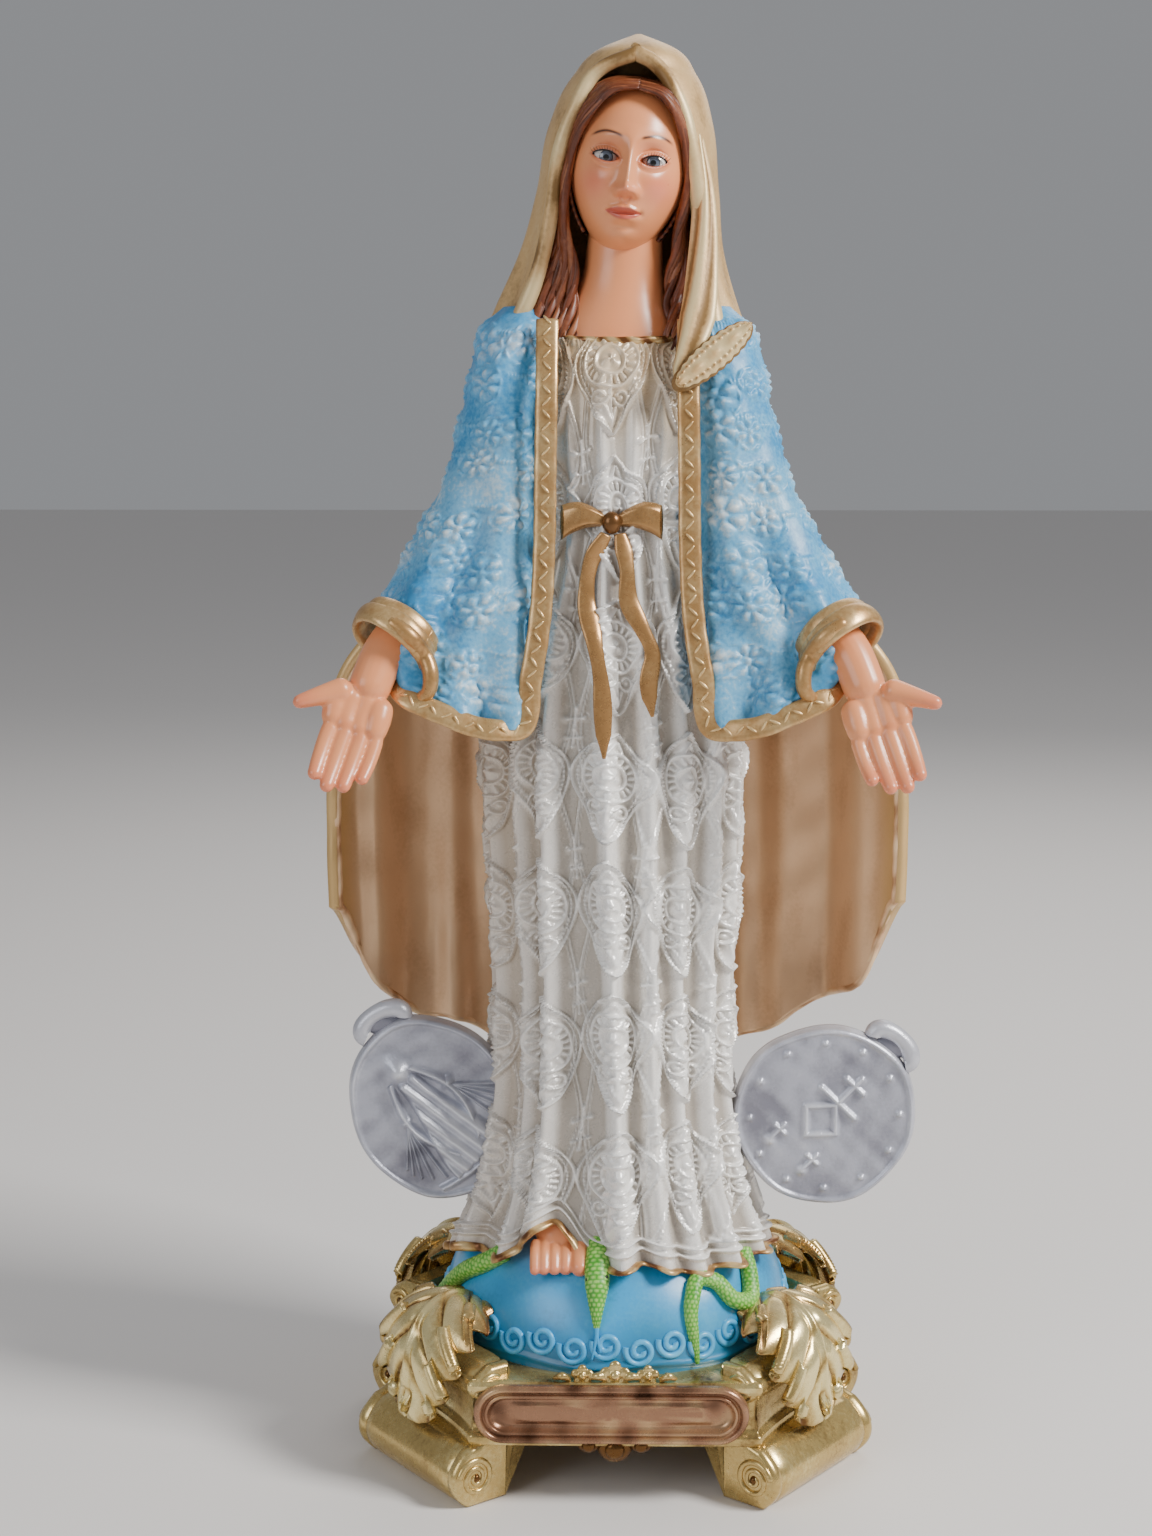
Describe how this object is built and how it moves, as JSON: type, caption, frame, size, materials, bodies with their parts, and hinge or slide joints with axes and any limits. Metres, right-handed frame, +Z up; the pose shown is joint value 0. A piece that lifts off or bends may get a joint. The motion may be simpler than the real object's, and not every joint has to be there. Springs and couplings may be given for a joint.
{
  "type": "devotional statue",
  "caption": "Standing robed devotional figure with open hands on a globe and scrolled rococo base, cast and painted, for a shelf or home altar.",
  "frame": {"origin": "middle of the footprint, on the surface it stands on", "axes": "+Z up along the figure; the figure faces -Y; +X is towards the figure's left hand"},
  "size_m": [0.1691, 0.12, 0.4],
  "materials": {
    "skin_paint": "satin",
    "hair_paint": "matte",
    "veil_paint": "satin",
    "gown_paint": "satin",
    "mantle_blue": "matte",
    "mantle_lining": "satin",
    "trim_gold": "satin",
    "base_gold": "satin",
    "panel_copper": "satin",
    "globe_blue": "satin",
    "snake_green": "satin",
    "medal_silver": "satin",
    "glass_eyes": "gloss",
    "lashes": "matte",
    "steel_wire": "satin"
  },
  "bodies": {
    "root": {"acanthus_leaf_front_left": "base_gold", "acanthus_leaf_front_right": "base_gold", "acanthus_leaf_rear_left": "base_gold", "acanthus_leaf_rear_right": "base_gold", "eyelashes_left": "lashes", "eyelashes_right": "lashes", "flower_cluster": "base_gold", "front_cartouche": "panel_copper", "glass_eye_left": "glass_eyes", "glass_eye_right": "glass_eyes", "globe": "globe_blue", "gown": "gown_paint", "hair_cap": "hair_paint", "hair_lock_left": "hair_paint", "hair_lock_right": "hair_paint", "hand_left": "skin_paint", "hand_right": "skin_paint", "head": "skin_paint", "hem_trim": "trim_gold", "mantle_back": "mantle_lining", "mantle_panel_left": "mantle_blue", "mantle_panel_right": "mantle_blue", "mantle_trim_left": "trim_gold", "mantle_trim_right": "trim_gold", "medal_bail_left": "medal_silver", "medal_bail_right": "medal_silver", "medal_emblems": "medal_silver", "medal_figure": "medal_silver", "medal_left": "medal_silver", "medal_right": "medal_silver", "neckline_trim": "trim_gold", "pedestal_body": "base_gold", "ribbon_tail_left": "trim_gold", "ribbon_tail_right": "trim_gold", "right_foot": "skin_paint", "scroll_foot_front_left": "base_gold", "scroll_foot_front_right": "base_gold", "scroll_foot_rear_left": "base_gold", "scroll_foot_rear_right": "base_gold", "sleeve_cuff_left": "trim_gold", "sleeve_cuff_right": "trim_gold", "snake_body": "snake_green", "snake_head": "snake_green", "snake_tail": "snake_green", "veil": "veil_paint", "veil_fold": "veil_paint", "veil_lace": "trim_gold", "waist_bow": "trim_gold", "wave_scrolls": "globe_blue", "wrist_pin_left": "steel_wire", "wrist_pin_right": "steel_wire"}
  },
  "joints": []
}
